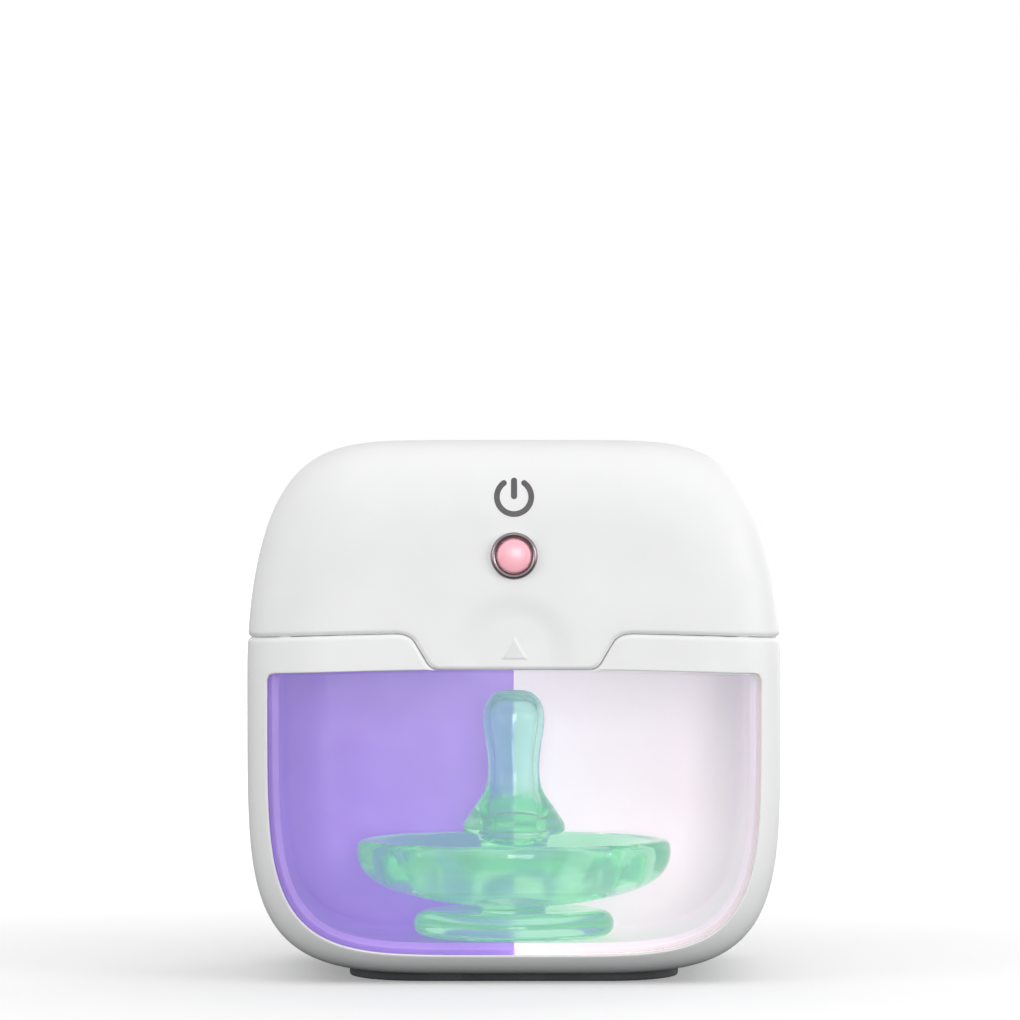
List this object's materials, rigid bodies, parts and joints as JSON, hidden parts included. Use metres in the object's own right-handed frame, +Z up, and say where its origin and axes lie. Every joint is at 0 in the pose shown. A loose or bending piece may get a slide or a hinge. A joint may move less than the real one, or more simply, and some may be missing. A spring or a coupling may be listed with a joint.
{
  "type": "portable sterilizer",
  "caption": "Rounded-square UV sterilizer with a hinged lid, front tab, lit push button and clear front window over a two-tone chamber that holds a pacifier.",
  "frame": {"origin": "under the middle of the whole object, on the surface it stands on", "axes": "+Z up, the front with the window and the button faces -Y, +X to the right as seen from the front"},
  "size_m": [0.08, 0.0594, 0.0812],
  "materials": {
    "case_white": "moulded white ABS, soft sheen",
    "inner_white": "moulded white ABS, satin",
    "clear_pane": "clear polycarbonate, polished",
    "liner_violet": "violet moulded plastic, satin",
    "liner_pale": "pale pink moulded plastic, satin",
    "mint_silicone": "translucent mint silicone, satin",
    "gasket_silicone": "white silicone, matt",
    "foot_rubber": "dark grey rubber, matt",
    "dark_metal": "dark plated ring, bright",
    "pink_cap": "lit translucent pink plastic",
    "plunger_grey": "grey plastic, matt",
    "black_plastic": "black moulded plastic, matt",
    "board_green": "green solder mask on glass-fibre board",
    "board_white": "white solder mask on glass-fibre board",
    "lamp_ceramic": "cream ceramic lamp body",
    "quartz": "polished quartz",
    "steel": "zinc-plated steel",
    "nickel": "nickel plate, bright",
    "tray_grey": "grey moulded plastic, matt",
    "cell_foil": "foil pouch, satin",
    "foam_grey": "closed-cell foam, matt",
    "ribbon_white": "white flat cable"
  },
  "bodies": {
    "base": {"base_shell": "case_white", "front_window": "clear_pane", "chamber_liner_left": "liner_violet", "chamber_liner_right": "liner_pale", "chamber_rim": "inner_white", "base_magnet": "nickel", "hinge_pin": "steel", "foot_ring": "foot_rubber"},
    "lid": {"lid_shell": "case_white", "lid_magnet": "nickel", "lid_gasket": "gasket_silicone", "lid_inner_cover": "inner_white", "uv_board": "board_white", "hall_sensor": "black_plastic", "board_ribbon": "ribbon_white", "uv_led_1": "lamp_ceramic", "uv_led_2": "lamp_ceramic", "uv_led_3": "lamp_ceramic", "uv_led_4": "lamp_ceramic", "uv_glass_1": "quartz", "uv_glass_2": "quartz", "uv_glass_3": "quartz", "uv_glass_4": "quartz", "cover_screw_1": "steel", "cover_screw_2": "steel", "cover_screw_3": "steel", "cover_screw_4": "steel", "uv_board_screw_1": "steel", "uv_board_screw_2": "steel", "button_ring": "dark_metal", "tact_switch": "black_plastic", "status_led": "lamp_ceramic", "main_board": "board_green", "main_board_screw_1": "steel", "main_board_screw_2": "steel", "battery_tray": "tray_grey", "battery_cell": "cell_foil", "battery_foam_pad": "foam_grey", "charge_board": "board_green", "usb_socket": "nickel"},
    "button": {"power_button": "pink_cap", "switch_plunger": "plunger_grey"},
    "pacifier": {"pacifier": "mint_silicone"}
  },
  "joints": [
    {"name": "lid_hinge", "type": "hinge", "parent": "base", "child": "lid", "pos_m": [0, 0.02775, 0.0524], "axis": [-1, 0, 0], "range_deg": [0, 95]},
    {"name": "button_press", "type": "slide", "parent": "lid", "child": "button", "axis": [0, 1, 0], "range_m": [0, 0.0005], "stiffness_N_per_m": 800, "springref_m": -0.0005},
    {"name": "pacifier_lift", "type": "slide", "parent": "base", "child": "pacifier", "axis": [0, 0, 1], "range_m": [0, 0.005]}
  ]
}
